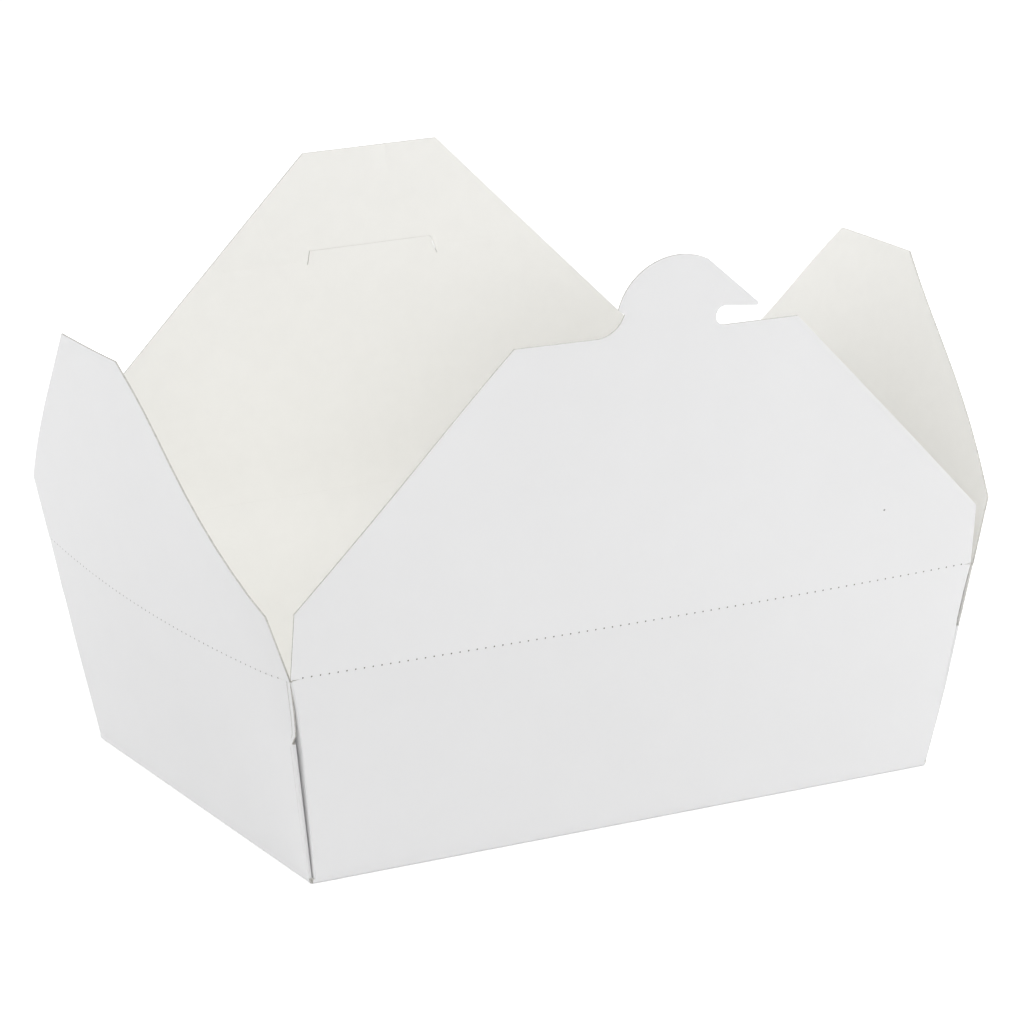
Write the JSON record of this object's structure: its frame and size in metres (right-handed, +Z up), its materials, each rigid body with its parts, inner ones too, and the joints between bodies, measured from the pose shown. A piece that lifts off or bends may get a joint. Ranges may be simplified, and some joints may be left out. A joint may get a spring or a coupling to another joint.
{
  "type": "takeout food box",
  "caption": "Folded paperboard takeout food box standing open, with flared walls, corner webs, a hook flap, a slotted flap and end flaps on hinged folds.",
  "frame": {"origin": "centre of the base's underside, on the surface the box stands on", "axes": "+Z up; the long sides run along X; the hook flap is at -Y and the slotted flap at +Y"},
  "size_m": [0.2532, 0.1802, 0.1675],
  "materials": {
    "coated_board": "satin coated white outside, warm cream inside"
  },
  "bodies": {
    "tray": {"tray": "coated_board"},
    "hook_flap": {"hook_flap": "coated_board"},
    "slotted_flap": {"slotted_flap": "coated_board"},
    "left_end_flap": {"left_end_flap": "coated_board"},
    "right_end_flap": {"right_end_flap": "coated_board"}
  },
  "joints": [
    {"name": "hook_flap_fold", "type": "hinge", "parent": "tray", "child": "hook_flap", "pos_m": [0, -0.08295, 0.0625], "axis": [-1, 0, 0], "range_deg": [-96, 96]},
    {"name": "slotted_flap_fold", "type": "hinge", "parent": "tray", "child": "slotted_flap", "pos_m": [0, 0.08295, 0.0625], "axis": [1, 0, 0], "range_deg": [-90.5, 90.5]},
    {"name": "left_end_flap_fold", "type": "hinge", "parent": "tray", "child": "left_end_flap", "pos_m": [-0.10795, 0, 0.06185], "axis": [0, 1, 0], "range_deg": [-104.5, 104.5]},
    {"name": "right_end_flap_fold", "type": "hinge", "parent": "tray", "child": "right_end_flap", "pos_m": [0.10795, 0, 0.06185], "axis": [0, -1, 0], "range_deg": [-104.5, 104.5]}
  ]
}
